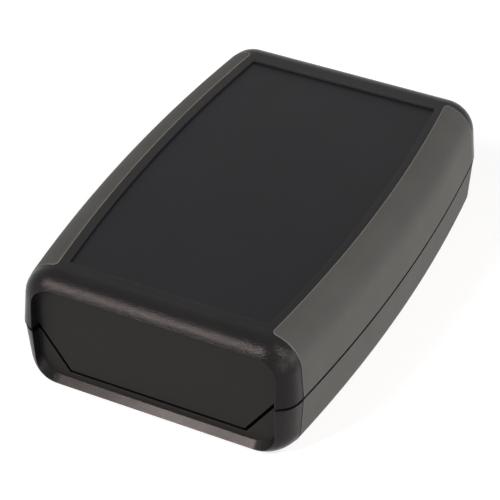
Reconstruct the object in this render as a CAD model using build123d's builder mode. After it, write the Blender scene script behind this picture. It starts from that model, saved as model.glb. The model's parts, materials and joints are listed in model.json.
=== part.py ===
"""Hand-held electronics housing: two moulded shells with soft side grips, closed by four screws.

Frame: millimetres, +Z up, base on z = 0, long axis along Y, centred on X and Y.
"""

from build123d import *
from math import radians, sqrt, tan
import os

# ---------------------------------------------------------------- case
case_length = 117.2  # between the end planes; 117.0 over the rounded end posts
case_width = 79.0
case_height = 33.0
parting_height = 16.95
side_bow = 3.8

shoulder_radius = 8.3
top_corner_radius = 5.8
top_side_draft = 4.7
top_end_draft = 2.0

base_side_radius = 6.7
base_end_radius = 4.1
base_corner_radius = 6.4
base_corner_growth = 2.2
base_side_draft = 3.0
base_end_draft = 0.5

# ---------------------------------------------------------------- walls
wall = 1.8
base_thickness = 2.2
end_wall = 2.0
ceiling_thickness = 2.0
cavity_corner_radius = 3.0
cavity_base_radius = 2.4

# ---------------------------------------------------------------- soft grips
grip_thickness = 1.5
grip_proud = 0.12
grip_end_margin = 6.85
grip_top_reach = 8.5
grip_base_reach = 9.5
grip_tip_radius = 1.2

# ---------------------------------------------------------------- label recess
label_rim = 2.0
label_depth = 0.8
label_end_margin = 9.3
label_corner_radius = 0.8

# ---------------------------------------------------------------- recessed end faces
pocket_depth = 3.0
end_post_width = 4.0
pocket_bottom = 2.75
pocket_top_margin = 3.6
pocket_bottom_radius = 6.5
pocket_top_radius = 5.7
pocket_draft = 7.0
lip_slope = 40.0

# ---------------------------------------------------------------- seam between the shells
seam_gap = 0.8
seam_gap_depth = 1.2
seam_rim = 0.5
seam_rabbet = 1.0
grip_seam_gap = 0.45
tab_side_margin = 0.3
tab_slant = 8.2
tab_floor_margin = 3.1
tab_gap = 0.85
tab_rim = 0.6
tab_rabbet = 1.2
backing_lap = 1.2
backing_thickness = 1.2
tongue_width = 0.8
tongue_height = 1.4
tongue_end_margin = 5.5
fit_clearance = 0.1

# ---------------------------------------------------------------- screws and their bosses
screw_side_margin = 8.1
screw_end_margin = 10.3
screw_diameter = 3.0
screw_length = 14.0
screw_point = 1.8
screw_tip_diameter = 0.8
head_diameter = 5.6
head_height = 2.2
head_edge = 0.7
drive_width = 0.9
drive_span = 3.2
drive_depth = 1.2
tower_diameter = 9.0
counterbore_diameter = 6.4
counterbore_depth = 7.0
tower_web = 2.2
screw_hole_clearance = 0.2
boss_diameter = 6.6
thread_clearance = 0.05
gusset_thickness = 1.2
gusset_reach = 3.6
gusset_drop = 9.0

# ---------------------------------------------------------------- board posts and ribs
post_side_step = 2.0
post_end_step = 16.3
post_diameter = 5.2
post_height = 4.0
post_pilot = 2.0
post_pilot_depth = 4.6
rib_thickness = 1.2
rib_height = 1.4
rib_pitch = 18.0
rib_count = 4
root = 0.5

# ---------------------------------------------------------------- derived
half_length = case_length / 2
bow_radius = (half_length**2 + side_bow**2) / (2 * side_bow)
cavity_inset = grip_thickness + wall
end_face = half_length - pocket_depth
cavity_half_length = end_face - end_wall
cavity_end_inset = half_length - cavity_half_length
rim_height = case_height - grip_proud
label_floor = rim_height - label_depth
ceiling = label_floor - ceiling_thickness
label_inset = grip_top_reach + label_rim
label_half_length = half_length - label_end_margin
grip_half_length = half_length - grip_end_margin
tongue_half_length = cavity_half_length - tongue_end_margin
seam = Plane.XY.offset(parting_height)
web_top = counterbore_depth + tower_web
screw_tip = counterbore_depth + screw_length


def side_x(y, inset=0.0):
    """X of the bowed side at station y, moved in by inset."""
    return case_width / 2 - bow_radius + sqrt((bow_radius - inset) ** 2 - y**2)


pocket_half_width = side_x(half_length) - end_post_width
pocket_top = case_height - pocket_top_margin
tab_half_top = pocket_half_width - tab_side_margin
tab_half_bottom = tab_half_top - tab_slant
tab_bottom = base_thickness + tab_floor_margin
screw_y = cavity_half_length - screw_end_margin
screw_x = side_x(screw_y, cavity_inset) - screw_side_margin
post_x = screw_x - post_side_step
post_y = screw_y - post_end_step


def bowed_outline(inset, half):
    """Plan outline: bowed long sides moved in by inset, straight ends at +-half."""
    x_mid = side_x(0, inset)
    x_end = side_x(half, inset)
    with BuildSketch() as outline:
        with BuildLine():
            right = ThreePointArc((x_end, -half), (x_mid, 0), (x_end, half))
            Line(right @ 1, (-x_end, half))
            left = ThreePointArc((-x_end, half), (-x_mid, 0), (-x_end, -half))
            Line(left @ 1, right @ 0)
        make_face()
    return outline.sketch


def top_form(side_inset=0.0, end_inset=0.0, top=case_height):
    """Upper half of the case: drafted walls, long shoulders, then round ends and corners."""
    with BuildPart() as form:
        with BuildSketch(seam):
            add(bowed_outline(side_inset, half_length - end_inset))
        extrude(amount=top - parting_height)
        draft(form.faces().filter_by(GeomType.CYLINDER), seam, top_side_draft)
        ends = form.faces().sort_by(Axis.Y)
        draft([ends[0], ends[-1]], seam, top_end_draft)
        fillet(
            form.edges().group_by(Axis.Z)[-1].filter_by(GeomType.CIRCLE),
            shoulder_radius - side_inset,
        )
        for end in (0, -1):
            round_end = form.faces().sort_by(Axis.Y)[end].edges()
            fillet(
                round_end.filter_by(lambda edge: edge.center().Z > parting_height + 0.1),
                top_corner_radius,
            )
    return form.part


def edge_inset(radius, height):
    """How far a round base edge draws in at a height above the base."""
    if height >= radius:
        return 0.0
    return radius - sqrt(radius**2 - (radius - height) ** 2)


def base_form(side_inset=0.0):
    """Lower half of the case: drafted walls over a base edge that is rounder at the sides."""
    round_levels = [base_side_radius * step for step in (0, 0.03, 0.12, 0.3, 0.55, 0.8, 1)]
    wall_levels = [base_side_radius, parting_height]
    with BuildPart() as form:
        for levels in (round_levels, wall_levels):
            for height in levels:
                fall = parting_height - height
                side_round = edge_inset(base_side_radius, height)
                end_round = edge_inset(base_end_radius, height)
                side = side_inset + fall * tan(radians(base_side_draft)) + side_round
                end = fall * tan(radians(base_end_draft)) + end_round
                corner = base_corner_radius + base_corner_growth * fall / parting_height
                corner -= side_inset + (side_round + end_round) / 2
                with BuildSketch(Plane.XY.offset(height)) as level:
                    add(bowed_outline(side, half_length - end))
                    fillet(level.vertices(), corner)
            loft(ruled=len(levels) == 2)
    return form.part


def base_block(side_inset, end_inset, bottom, corner_radius, edge_radius):
    """Plain drafted inner form of the lower half, with its floor at bottom."""
    with BuildPart() as block:
        with BuildSketch(seam) as outline:
            add(bowed_outline(side_inset, half_length - end_inset))
            fillet(outline.vertices(), corner_radius)
        extrude(amount=bottom - parting_height)
        draft(block.faces().filter_by(GeomType.CYLINDER), seam, -base_side_draft)
        fillet(block.edges().group_by(Axis.Z)[0], edge_radius)
    return block.part


def grip_band(reach, low, high):
    """Block that covers the right-hand grip: outside the bowed line reach in from the side."""
    x_mid = side_x(0, reach)
    x_end = side_x(grip_half_length, reach)
    with BuildPart() as band:
        with BuildSketch(Plane.XY.offset(low)):
            with BuildLine():
                inner = ThreePointArc(
                    (x_end, -grip_half_length), (x_mid, 0), (x_end, grip_half_length)
                )
                Line(inner @ 1, (case_width, grip_half_length))
                Line((case_width, grip_half_length), (case_width, -grip_half_length))
                Line((case_width, -grip_half_length), inner @ 0)
            make_face()
        extrude(amount=high - low)
        tips = band.edges().filter_by(Axis.Z).sort_by(Axis.X)[0:2]
        fillet(tips, grip_tip_radius)
    return band.part


def end_pocket():
    """Recess of the front end face: side walls near square, a sloping lip along the bottom."""
    reach = pocket_depth + 1.0
    spread = reach * tan(radians(pocket_draft))
    drop = reach * tan(radians(lip_slope))
    with BuildPart() as pocket:
        for out, grow, fall in ((0.0, 0.0, 0.0), (reach, spread, drop)):
            x = pocket_half_width + grow
            low = pocket_bottom - fall
            high = pocket_top + grow
            with BuildSketch(Plane.XZ.offset(end_face + out)) as opening:
                with BuildLine():
                    Polyline((-x, low), (x, low), (x, high), (-x, high), close=True)
                make_face()
                fillet(opening.vertices().group_by(Axis.Y)[0], pocket_bottom_radius)
                fillet(opening.vertices().group_by(Axis.Y)[-1], pocket_top_radius)
        loft()
    return pocket.part


def tab_plate(near, far, grow=0.0):
    """Front end tab shape, grown all round, between the stations near and far from centre."""
    with BuildPart() as plate:
        with BuildSketch(Plane.XZ.offset(far)):
            with BuildLine():
                Polyline(
                    (-tab_half_bottom, tab_bottom),
                    (tab_half_bottom, tab_bottom),
                    (tab_half_top, parting_height),
                    (-tab_half_top, parting_height),
                    close=True,
                )
            make_face()
            if grow:
                offset(amount=grow, kind=Kind.INTERSECTION)
        extrude(amount=near - far)
    return plate.part


def side_ring(outer_inset, inner_inset, low, high, reach):
    """Pair of upright strips that follow the bowed sides between two insets."""
    with BuildPart() as ring:
        with BuildSketch(Plane.XY.offset(low)):
            add(bowed_outline(outer_inset, reach))
            add(bowed_outline(inner_inset, reach), mode=Mode.SUBTRACT)
        extrude(amount=high - low)
    return ring.part


def both_sides(part):
    """A right-hand part and its mirror image across the long centre plane."""
    return part + mirror(part, about=Plane.YZ)


def both_ends(part):
    """A front part and its mirror image across the middle."""
    return part + mirror(part, about=Plane.XZ)


# ---------------------------------------------------------------- shared shapes
screw_places = [(x, y) for x in (-screw_x, screw_x) for y in (-screw_y, screw_y)]
post_places = [(x, y) for x in (-post_x, post_x) for y in (-post_y, post_y)]

pockets = both_ends(end_pocket())
top_core = top_form(side_inset=grip_thickness, top=case_height - grip_thickness)
top_band = grip_band(grip_top_reach, parting_height, case_height + 1.0)
base_core = base_block(
    grip_thickness,
    grip_thickness,
    grip_thickness,
    base_corner_radius,
    base_side_radius - grip_thickness,
)
base_band = grip_band(grip_base_reach, -1.0, parting_height)

# ---------------------------------------------------------------- soft grips
with BuildPart() as upper_grip_right:
    add(top_form())
    add(top_band, mode=Mode.INTERSECT)
    add(top_core, mode=Mode.SUBTRACT)

with BuildPart() as upper_grip_left:
    mirror(upper_grip_right.part, about=Plane.YZ)

with BuildPart() as lower_grip_right:
    add(base_form())
    add(base_band, mode=Mode.INTERSECT)
    add(base_core, mode=Mode.SUBTRACT)
    with BuildSketch(seam.offset(-grip_seam_gap)):
        Rectangle(2 * case_width, 2 * case_length)
    extrude(amount=case_height, mode=Mode.SUBTRACT)

with BuildPart() as lower_grip_left:
    mirror(lower_grip_right.part, about=Plane.YZ)

# ---------------------------------------------------------------- top shell
with BuildPart() as top_ribs:
    with BuildSketch(Plane.XY.offset(ceiling - gusset_drop)):
        for x, y in screw_places:
            with Locations((x + gusset_reach * (1 if x > 0 else -1), y)):
                Rectangle(2 * gusset_reach, gusset_thickness)
            with Locations((x, y + gusset_reach * (1 if y > 0 else -1))):
                Rectangle(gusset_thickness, 2 * gusset_reach)
    extrude(amount=gusset_drop + root)
    with BuildSketch(Plane.XY.offset(ceiling - rib_height)):
        with GridLocations(0, rib_pitch, 1, rib_count):
            Rectangle(case_width, rib_thickness)
    extrude(amount=rib_height + root)
    add(
        top_form(cavity_inset - root, cavity_end_inset - root, ceiling + root),
        mode=Mode.INTERSECT,
    )

with BuildPart() as top_shell:
    add(top_form(side_inset=grip_proud, top=rim_height))
    add(pockets, mode=Mode.SUBTRACT)
    with BuildSketch(Plane.XY.offset(label_floor)) as label:
        add(bowed_outline(label_inset, label_half_length))
        fillet(label.vertices(), label_corner_radius)
    extrude(amount=case_height, mode=Mode.SUBTRACT)
    add(top_form(cavity_inset, cavity_end_inset, ceiling), mode=Mode.SUBTRACT)
    add(both_ends(tab_plate(cavity_half_length, end_face)))
    add(top_ribs.part)
    with BuildSketch(Plane.XY.offset(web_top)):
        with Locations(*screw_places):
            Circle(boss_diameter / 2)
    extrude(amount=ceiling + root - web_top)
    add(
        side_ring(
            cavity_inset - tongue_width - fit_clearance,
            cavity_inset + 1.0,
            parting_height,
            parting_height + tongue_height + fit_clearance,
            tongue_half_length + fit_clearance,
        ),
        mode=Mode.SUBTRACT,
    )
    with BuildSketch(Plane.XY.offset(web_top)):
        with Locations(*screw_places):
            Circle(screw_diameter / 2 + thread_clearance)
    extrude(amount=screw_tip + 1.0 - web_top, mode=Mode.SUBTRACT)
    add(both_sides(top_band - top_core), mode=Mode.SUBTRACT)

# ---------------------------------------------------------------- bottom shell
with BuildPart() as backing:
    add(
        tab_plate(
            cavity_half_length - backing_thickness,
            cavity_half_length,
            tab_gap + tab_rabbet + backing_lap,
        )
    )
    add(
        tab_plate(cavity_half_length - backing_thickness - 1.0, end_face, -backing_lap),
        mode=Mode.SUBTRACT,
    )
    with BuildSketch(seam):
        Rectangle(2 * case_width, 2 * case_length)
    extrude(amount=case_height, mode=Mode.SUBTRACT)

with BuildPart() as bottom_shell:
    add(base_form(side_inset=grip_proud))
    add(pockets, mode=Mode.SUBTRACT)
    with BuildSketch(seam):
        Rectangle(2 * case_width, 2 * case_length)
        add(
            bowed_outline(grip_proud + seam_gap_depth, end_face - seam_gap_depth),
            mode=Mode.SUBTRACT,
        )
    extrude(amount=-seam_gap, mode=Mode.SUBTRACT)
    with BuildSketch(seam) as rabbet:
        add(bowed_outline(grip_proud + seam_rim, half_length - seam_rim))
        fillet(rabbet.vertices(), base_corner_radius - seam_rim)
        add(
            bowed_outline(grip_proud + seam_gap_depth, end_face - seam_gap_depth),
            mode=Mode.SUBTRACT,
        )
    extrude(amount=-seam_gap - seam_rabbet, mode=Mode.SUBTRACT)
    add(
        base_block(
            cavity_inset,
            cavity_end_inset,
            base_thickness,
            cavity_corner_radius,
            cavity_base_radius,
        ),
        mode=Mode.SUBTRACT,
    )
    add(both_ends(tab_plate(cavity_half_length, half_length, tab_gap)), mode=Mode.SUBTRACT)
    add(
        both_ends(tab_plate(cavity_half_length, end_face - tab_rim, tab_gap + tab_rabbet)),
        mode=Mode.SUBTRACT,
    )
    add(both_ends(backing.part))
    add(
        side_ring(
            cavity_inset - tongue_width,
            cavity_inset,
            parting_height - tongue_height,
            parting_height + tongue_height,
            tongue_half_length,
        )
    )
    with BuildSketch(Plane.XY.offset(base_thickness - root)):
        with Locations(*screw_places):
            Circle(tower_diameter / 2)
    extrude(amount=web_top - base_thickness + root)
    with BuildSketch(Plane.XY.offset(base_thickness - root)):
        with Locations(*post_places):
            Circle(post_diameter / 2)
    extrude(amount=post_height + root)
    with BuildSketch():
        with Locations(*screw_places):
            Circle(counterbore_diameter / 2)
    extrude(amount=counterbore_depth, mode=Mode.SUBTRACT)
    with BuildSketch():
        with Locations(*screw_places):
            Circle(screw_diameter / 2 + screw_hole_clearance)
    extrude(amount=web_top, mode=Mode.SUBTRACT)
    with BuildSketch(Plane.XY.offset(base_thickness + post_height)):
        with Locations(*post_places):
            Circle(post_pilot / 2)
    extrude(amount=-post_pilot_depth, mode=Mode.SUBTRACT)
    add(both_sides(base_band - base_core), mode=Mode.SUBTRACT)

# ---------------------------------------------------------------- screws
with BuildPart() as screw_front_right:
    with BuildSketch(Plane((screw_x, -screw_y, 0), x_dir=(1, 0, 0), z_dir=(0, -1, 0))):
        with BuildLine():
            Polyline(
                (0, counterbore_depth - head_height),
                (head_diameter / 2 - head_edge, counterbore_depth - head_height),
                (head_diameter / 2, counterbore_depth - head_height + head_edge),
                (head_diameter / 2, counterbore_depth),
                (screw_diameter / 2, counterbore_depth),
                (screw_diameter / 2, screw_tip - screw_point),
                (screw_tip_diameter / 2, screw_tip),
                (0, screw_tip),
                close=True,
            )
        make_face()
    revolve(axis=Axis((screw_x, -screw_y, 0), (0, 0, 1)))
    with BuildSketch(Plane.XY.offset(counterbore_depth - head_height)):
        with Locations((screw_x, -screw_y)):
            Rectangle(drive_span, drive_width)
            Rectangle(drive_width, drive_span)
    extrude(amount=drive_depth, mode=Mode.SUBTRACT)

with BuildPart() as screw_front_left:
    mirror(screw_front_right.part, about=Plane.YZ)

with BuildPart() as screw_rear_right:
    mirror(screw_front_right.part, about=Plane.XZ)

with BuildPart() as screw_rear_left:
    mirror(screw_front_left.part, about=Plane.XZ)

# ---------------------------------------------------------------- export
os.makedirs("parts", exist_ok=True)

top_shell.part.label = "top_shell"
export_step(top_shell.part, "parts/top_shell.step")

bottom_shell.part.label = "bottom_shell"
export_step(bottom_shell.part, "parts/bottom_shell.step")

upper_grip_right.part.label = "upper_grip_right"
export_step(upper_grip_right.part, "parts/upper_grip_right.step")

upper_grip_left.part.label = "upper_grip_left"
export_step(upper_grip_left.part, "parts/upper_grip_left.step")

lower_grip_right.part.label = "lower_grip_right"
export_step(lower_grip_right.part, "parts/lower_grip_right.step")

lower_grip_left.part.label = "lower_grip_left"
export_step(lower_grip_left.part, "parts/lower_grip_left.step")

screw_front_right.part.label = "screw_front_right"
export_step(screw_front_right.part, "parts/screw_front_right.step")

screw_front_left.part.label = "screw_front_left"
export_step(screw_front_left.part, "parts/screw_front_left.step")

screw_rear_right.part.label = "screw_rear_right"
export_step(screw_rear_right.part, "parts/screw_rear_right.step")

screw_rear_left.part.label = "screw_rear_left"
export_step(screw_rear_left.part, "parts/screw_rear_left.step")
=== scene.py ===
import json
import math

import bpy
from mathutils import Matrix, Vector

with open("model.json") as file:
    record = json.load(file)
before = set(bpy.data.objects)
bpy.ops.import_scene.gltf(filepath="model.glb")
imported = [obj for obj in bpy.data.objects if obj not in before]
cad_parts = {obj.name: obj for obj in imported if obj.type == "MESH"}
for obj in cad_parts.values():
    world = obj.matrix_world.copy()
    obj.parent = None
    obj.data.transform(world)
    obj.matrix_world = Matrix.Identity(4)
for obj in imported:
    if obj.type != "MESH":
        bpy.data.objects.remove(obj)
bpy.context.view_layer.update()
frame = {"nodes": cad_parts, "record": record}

MM = 0.001

# ---------------------------------------------------------------- places on the part
# The looks pick these surfaces out by height (z), by distance along the part (|y|) and
# by distance across it (|x|).
label_floor = 32.08 * MM
label_wall_foot = 32.1 * MM
label_wall_top = 32.3 * MM
label_wall_end = 49.4 * MM
label_wall_end_fade = 49.6 * MM
flat_rim = 32.5 * MM
shoulder = (31.5 * MM, 32.0 * MM)
end_face = 55.6 * MM
lip_start = 55.7 * MM
lip_top = 4.0 * MM
lip_slope = 0.766
notch_middle = 54.5 * MM
notch_half_length = 1.0 * MM
notch_half_width = 31.4 * MM
notch_foot = 2.0 * MM
notch_top = 17.0 * MM
tab_half_width = 31.6 * MM
tab_start = 53.0 * MM
seam_height = 16.95 * MM
seam_dark = 0.14 * MM
ledge_height = 16.15 * MM
ledge_tolerance = 0.03 * MM
ledge_dark = 0.12 * MM
grip_seam_height = 16.72 * MM
grip_seam_dark = 0.42 * MM
flat_tolerance = 0.1 * MM
edge_reach = 0.3 * MM


# ---------------------------------------------------------------- node helpers
class Graph:
    """A node tree, with short calls that return sockets."""

    def __init__(self, owner, output):
        owner.use_nodes = True
        self.tree = owner.node_tree
        self.tree.nodes.clear()
        self.surface = self.node(output).inputs["Surface"]

    def node(self, kind, settings=None, **inputs):
        made = self.tree.nodes.new("ShaderNode" + kind)
        for key, value in (settings or {}).items():
            setattr(made, key, value)
        for key, value in inputs.items():
            self.put(made.inputs[key.replace("_", " ")], value)
        return made

    def put(self, socket, value):
        if isinstance(value, bpy.types.NodeSocket):
            self.tree.links.new(value, socket)
        else:
            socket.default_value = value

    def math(self, operation, a, b=0.0, c=0.0):
        made = self.node("Math", {"operation": operation})
        for socket, value in zip(made.inputs, (a, b, c)):
            self.put(socket, value)
        return made.outputs[0]

    def both(self, a, b):
        return self.math("MULTIPLY", a, b)

    def either(self, *masks):
        joined = masks[0]
        for mask in masks[1:]:
            joined = self.math("MAXIMUM", joined, mask)
        return joined

    def near(self, value, middle, reach):
        """1 within reach of the middle value, 0 elsewhere."""
        return self.math("COMPARE", value, middle, reach)

    def ramp(self, value, low, high, start=0.0, end=1.0, smooth=True):
        made = self.node("MapRange", {"interpolation_type": "SMOOTHSTEP" if smooth else "LINEAR"})
        sockets = ("Value", "From Min", "From Max", "To Min", "To Max")
        for key, put in zip(sockets, (value, low, high, start, end)):
            self.put(made.inputs[key], put)
        return made.outputs["Result"]

    def noise(self, vector, scale, detail=2.0, rough=0.5):
        made = self.node("TexNoise", Vector=vector, Scale=scale, Detail=detail, Roughness=rough)
        return made.outputs["Fac"]

    def mix_color(self, factor, a, b):
        made = self.node("Mix", {"data_type": "RGBA"}, Factor=factor)
        self.put(made.inputs[6], a)
        self.put(made.inputs[7], b)
        return made.outputs[2]

    def cloudy(self, cloud, a, b, low=0.35, high=0.65):
        """Two close colours, blended in soft patches."""
        return self.mix_color(self.ramp(cloud, low, high), a, b)

    def edges(self, reach):
        """1 on sharp outer edges, 0 on open surfaces, from a short look inwards."""
        settings = {"samples": 6, "inside": True, "only_local": True}
        look = self.node("AmbientOcclusion", settings, Distance=reach)
        return self.ramp(look.outputs["AO"], 0.95, 0.6)

    def rounded(self, radius):
        """Normals that round the edges by the given radius."""
        return self.node("Bevel", {"samples": 6}, Radius=radius).outputs["Normal"]

    def bump(self, height, strength, distance, **normal):
        made = self.node("Bump", Height=height, Strength=strength, Distance=distance, **normal)
        return made.outputs["Normal"]

    def background_rays(self):
        """1 for rays that show the background: from the camera, off a gloss or through glass."""
        ray = self.node("LightPath").outputs
        return self.either(ray["Is Camera Ray"], ray["Is Glossy Ray"], ray["Is Transmission Ray"])

    def finish(self, **inputs):
        self.put(self.surface, self.node("BsdfPrincipled", **inputs).outputs["BSDF"])


def new_graph(name):
    """A new material and its empty node tree."""
    material = bpy.data.materials.new(name)
    return material, Graph(material, "OutputMaterial")


def rgb(r, g, b):
    """A linear colour with full alpha."""
    return (r, g, b, 1.0)


# ---------------------------------------------------------------- shell plastic
class ShellPlaces:
    """Where a point of a shell lies, as masks of 0 and 1."""

    def __init__(self, g, coords, is_bottom):
        place = g.node("SeparateXYZ", Vector=coords).outputs
        facing = g.node("SeparateXYZ", Vector=g.node("NewGeometry").outputs["True Normal"]).outputs
        self.x = place["X"]
        self.high = place["Z"]
        self.up = facing["Z"]
        self.along = g.math("ABSOLUTE", place["Y"])
        self.across = g.math("ABSOLUTE", place["X"])
        endward = g.math("ABSOLUTE", facing["Y"])
        upright = g.math("ABSOLUTE", self.up)

        self.label = g.both(g.ramp(self.up, 0.985, 0.995), g.near(self.high, label_floor, flat_tolerance))
        self.end_face = g.both(g.ramp(endward, 0.97, 0.99), g.near(self.along, end_face, flat_tolerance))
        low_end = g.both(g.math("GREATER_THAN", self.along, lip_start),
                         g.math("LESS_THAN", self.high, lip_top))
        self.lip = g.both(g.near(self.up, lip_slope, 0.03), low_end)
        self.smooth = g.either(self.label, self.end_face, self.lip)
        # The walls of the label recess, which are painted lighter as painted light.
        beside_label = g.both(g.ramp(self.high, label_wall_foot, label_wall_top),
                              g.ramp(self.along, label_wall_end_fade, label_wall_end))
        self.painted_light_label_wall = g.both(g.ramp(upright, 0.6, 0.4), beside_label)
        self.rim = g.both(g.ramp(self.up, 0.985, 0.997), g.ramp(self.high, label_wall_top, flat_rim))
        # The faces in the seam and the notches, which are painted near-black as painted shade in the
        # gaps.
        self.painted_gap_shade = g.either(self.notch(g), self.ledge(g) if is_bottom else self.seam(g))

    def notch(self, g):
        """The faces behind the end walls, which stand in notches of the bottom shell."""
        ends = g.both(g.near(self.along, notch_middle, notch_half_length),
                      g.math("LESS_THAN", self.across, notch_half_width))
        middle = g.both(g.ramp(self.high, notch_top, notch_top - 0.1 * MM),
                        g.math("GREATER_THAN", self.high, notch_foot))
        return g.both(ends, middle)

    def ledge(self, g):
        """The bottom shell's faces inside the seam."""
        flat = g.both(g.near(self.high, ledge_height, ledge_tolerance), g.ramp(self.up, 0.8, 0.95))
        return g.either(flat, g.math("GREATER_THAN", self.high, ledge_height - ledge_dark))

    def seam(self, g):
        """The top shell's edge along the seam, but not its end walls."""
        beside_walls = g.either(g.math("GREATER_THAN", self.across, tab_half_width),
                                g.math("LESS_THAN", self.along, tab_start))
        return g.both(g.near(self.high, seam_height, seam_dark), beside_walls)


def shell_color(g, coords, at):
    cloud = g.noise(coords, 45.0, 3.0, 0.55)
    color = g.cloudy(cloud, rgb(0.0066, 0.0067, 0.0069), rgb(0.0080, 0.0081, 0.0083))
    label = g.cloudy(cloud, rgb(0.0044, 0.0052, 0.0067), rgb(0.0052, 0.0061, 0.0078))
    color = g.mix_color(at.label, color, label)
    color = g.mix_color(at.end_face, color, rgb(0.0105, 0.0100, 0.0098))
    # Sharp outer edges are painted lighter, more below the shoulder than above: a painted highlight along
    # the edges.
    edge_highlight = g.both(g.edges(edge_reach), g.ramp(at.high, shoulder[1], shoulder[0], 0.15, 0.25))
    color = g.mix_color(edge_highlight, color, rgb(0.050, 0.048, 0.046))
    # The label recess's walls are painted much lighter than the shell: painted light against the shade
    # that falls on them.
    color = g.mix_color(at.painted_light_label_wall, color, rgb(0.034, 0.034, 0.035))
    # Faces in the seam and the notches are painted near-black: painted shade in the gaps between the
    # parts.
    return g.mix_color(at.painted_gap_shade, color, rgb(0.0015, 0.0015, 0.0015))


def shell_roughness(g, at, coarse):
    """Satin, duller where the mould is smooth, with the lips polished more to the right."""
    even = g.ramp(at.smooth, 0.0, 1.0, 0.22, 0.42, smooth=False)
    streak = g.noise(g.node("CombineXYZ", X=at.x).outputs["Vector"], 90.0, 2.0, 0.5)
    handled = g.ramp(at.x, -24.0 * MM, 4.0 * MM, 0.03, 0.17)
    polish = g.both(at.lip, g.math("ADD", handled, g.ramp(streak, 0.3, 0.7, 0.02, -0.02)))
    rough = g.math("ADD", g.math("SUBTRACT", even, polish), g.ramp(coarse, 0.3, 0.7, -0.03, 0.03))
    return g.either(rough, at.painted_gap_shade)


def shell_plastic(name, is_bottom):
    material, g = new_graph(name)
    coords = g.node("TexCoord").outputs["Object"]
    at = ShellPlaces(g, coords, is_bottom)

    coarse = g.noise(coords, 2600.0, 2.0, 0.6)
    fine = g.noise(coords, 5500.0, 2.0, 0.6)
    grain = g.math("ADD", g.math("MULTIPLY", coarse, 0.65), g.math("MULTIPLY", fine, 0.35))
    calm = g.either(at.smooth, g.math("MULTIPLY", at.rim, 0.7))
    strength = g.ramp(calm, 0.0, 1.0, 0.54, 0.05, smooth=False)

    g.finish(Base_Color=shell_color(g, coords, at), Roughness=shell_roughness(g, at, coarse),
             Normal=g.bump(grain, strength, 0.22 * MM, Normal=g.rounded(0.12 * MM)),
             Specular_IOR_Level=0.14, Specular_Tint=rgb(1.0, 0.90, 0.88))
    return material


# ---------------------------------------------------------------- grip rubber and screw steel
def grip_rubber(name):
    material, g = new_graph(name)
    coords = g.node("TexCoord").outputs["Object"]
    high = g.node("SeparateXYZ", Vector=coords).outputs["Z"]
    up = g.node("SeparateXYZ", Vector=g.node("NewGeometry").outputs["True Normal"]).outputs["Z"]
    # A band along the grip's seam, which is painted near-black as painted shade in the gap.
    painted_gap_shade = g.near(high, grip_seam_height, grip_seam_dark)

    cloud = g.noise(coords, 60.0, 3.0, 0.55)
    color = g.cloudy(cloud, rgb(0.075, 0.0735, 0.0690), rgb(0.083, 0.0813, 0.0763))
    # Upward-facing grip surfaces are painted darker: painted shade that keeps the tops darker than the
    # sides.
    color = g.mix_color(g.ramp(up, 0.15, 0.75, 0.0, 0.38), color, rgb(0.020, 0.0198, 0.0188))
    # The grip's sharp edges are painted lighter: a painted highlight along the edges.
    color = g.mix_color(g.math("MULTIPLY", g.edges(edge_reach), 0.8), color, rgb(0.20, 0.197, 0.185))
    # The seam band is painted near-black: painted shade in the gap.
    color = g.mix_color(painted_gap_shade, color, rgb(0.002, 0.002, 0.002))

    grain = g.noise(coords, 3000.0, 3.0, 0.65)
    g.finish(Base_Color=color, Roughness=g.either(g.ramp(grain, 0.3, 0.7, 0.66, 0.74), painted_gap_shade),
             Normal=g.bump(grain, 0.3, 0.04 * MM, Normal=g.rounded(0.2 * MM)), Specular_IOR_Level=0.18)
    return material


def screw_steel(name):
    material, g = new_graph(name)
    coords = g.node("TexCoord").outputs["Object"]
    cloud = g.noise(coords, 900.0, 4.0, 0.6)
    g.finish(Base_Color=g.cloudy(cloud, rgb(0.22, 0.22, 0.225), rgb(0.34, 0.34, 0.345), 0.3, 0.7),
             Roughness=g.ramp(cloud, 0.3, 0.7, 0.28, 0.42),
             Normal=g.bump(g.noise(coords, 4000.0), 0.15, 0.03 * MM), Metallic=1.0)
    return material


looks = {
    "shell_top": shell_plastic("shell_top_plastic", is_bottom=False),
    "shell_bottom": shell_plastic("shell_bottom_plastic", is_bottom=True),
    "grip_upper": grip_rubber("grip_upper_rubber"),
    "grip_lower": grip_rubber("grip_lower_rubber"),
    "screw": screw_steel("screw_steel"),
}
for part in frame["record"]["subparts"]:
    piece = frame["nodes"][part["node"]]
    if not piece.material_slots:
        piece.data.materials.append(None)
    for slot in piece.material_slots:
        slot.material = looks[part["material_slot"]]

# ---------------------------------------------------------------- floor and background
white = rgb(1.0, 1.0, 1.0)
floor_half = 12.0


def floor_material():
    """Pale paper that shows white, keeps the shadow and can be seen through from below."""
    material, g = new_graph("floor_paper")
    diffuse = g.node("BsdfDiffuse", Color=rgb(0.4, 0.4, 0.4))
    lift = g.node("Emission", Color=white, Strength=g.math("MULTIPLY", g.background_rays(), 0.72))
    lit = g.node("AddShader")
    g.put(lit.inputs[0], diffuse.outputs["BSDF"])
    g.put(lit.inputs[1], lift.outputs["Emission"])
    side = g.node("MixShader", Fac=g.node("NewGeometry").outputs["Backfacing"])
    g.put(side.inputs[1], lit.outputs[0])
    g.put(side.inputs[2], g.node("BsdfTransparent").outputs["BSDF"])
    g.put(g.surface, side.outputs["Shader"])
    return material


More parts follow.
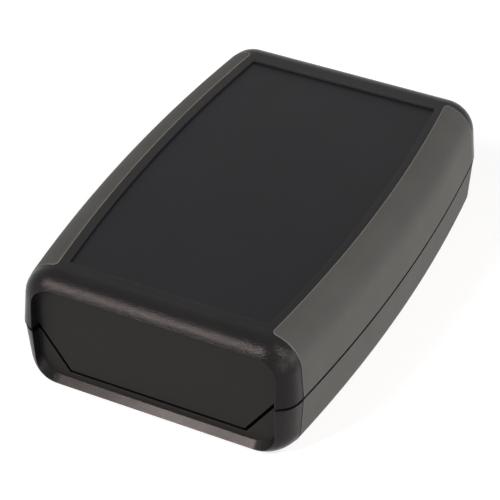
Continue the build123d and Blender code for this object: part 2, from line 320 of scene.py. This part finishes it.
def studio_world():
    """White where it is seen or mirrored, and a faint even light for the rest."""
    world = bpy.data.worlds.new("studio")
    g = Graph(world, "OutputWorld")
    choice = g.node("MixShader", Fac=g.background_rays())
    g.put(choice.inputs[1], g.node("Background", Color=white, Strength=0.08).outputs["Background"])
    g.put(choice.inputs[2], g.node("Background", Color=white, Strength=1.0).outputs["Background"])
    g.put(g.surface, choice.outputs["Shader"])
    # Sampled as a lamp, the white background would light the part.
    world.cycles.sampling_method = "NONE"
    return world


corners = [(x * floor_half, y * floor_half, 0) for x, y in ((-1, -1), (1, -1), (1, 1), (-1, 1))]
mesh = bpy.data.meshes.new("floor")
mesh.from_pydata(corners, [], [(0, 1, 2, 3)])
floor = bpy.data.objects.new("floor", mesh)
floor.data.materials.append(floor_material())
bpy.context.scene.collection.objects.link(floor)
bpy.context.scene.world = studio_world()

# ---------------------------------------------------------------- lights
middle = Vector((0, 0, 16.0 * MM))
lamp_distance = 1.0
warm = (1.0, 0.94, 0.92)


def direction(azimuth, elevation):
    """Unit vector towards a light; azimuth 0 is in front (-Y), 90 to the right (+X)."""
    a, e = math.radians(azimuth), math.radians(elevation)
    return Vector((math.sin(a) * math.cos(e), -math.cos(a) * math.cos(e), math.sin(e)))


def softbox(name, azimuth, elevation, width, height, radiance, tint=(1.0, 1.0, 1.0)):
    light = bpy.data.lights.new(name, "AREA")
    light.shape = "RECTANGLE"
    light.size = width
    light.size_y = height
    light.energy = radiance * math.pi * width * height
    light.color = tint
    lamp = bpy.data.objects.new(name, light)
    back = direction(azimuth, elevation)
    lamp.location = middle + back * lamp_distance
    lamp.rotation_mode = "QUATERNION"
    lamp.rotation_quaternion = back.to_track_quat("Z", "Y")
    bpy.context.scene.collection.objects.link(lamp)


softbox("key", 332, 38, 0.25, 0.40, 32.2, warm)
softbox("right_high", 87, 47, 0.16, 0.34, 31.3, warm)
softbox("right_low", 110, 11, 0.72, 0.26, 6.6)
softbox("front_right", 58, 9, 0.50, 0.24, 7.0)

# ---------------------------------------------------------------- camera
# Solved from the photograph: direction and roll in degrees, distances in metres, and the
# focal length in pixels of a picture 500 pixels wide.
view = direction(26.372, 37.590)
roll = math.radians(-0.0055)
eye_distance = 538.049 * MM
shift_across = 2.664 * MM
shift_up = 3.698 * MM
focal_pixels = 2135.158
picture_pixels = 500
sensor_width = 36.0

right = (-view).cross(Vector((0, 0, 1))).normalized()
up = right.cross(-view)
across = right * math.cos(roll) + up * math.sin(roll)
upward = up * math.cos(roll) - right * math.sin(roll)
eye = middle - across * shift_across - upward * shift_up + view * eye_distance

camera_data = bpy.data.cameras.new("camera")
camera_data.sensor_width = sensor_width
camera_data.lens = sensor_width * focal_pixels / picture_pixels
camera_data.clip_start = 0.01
camera_data.clip_end = 60.0
camera = bpy.data.objects.new("camera", camera_data)
camera.matrix_world = Matrix.Translation(eye) @ Matrix((across, upward, view)).transposed().to_4x4()
bpy.context.scene.collection.objects.link(camera)
bpy.context.scene.camera = camera
bpy.context.scene.view_settings.view_transform = "Standard"
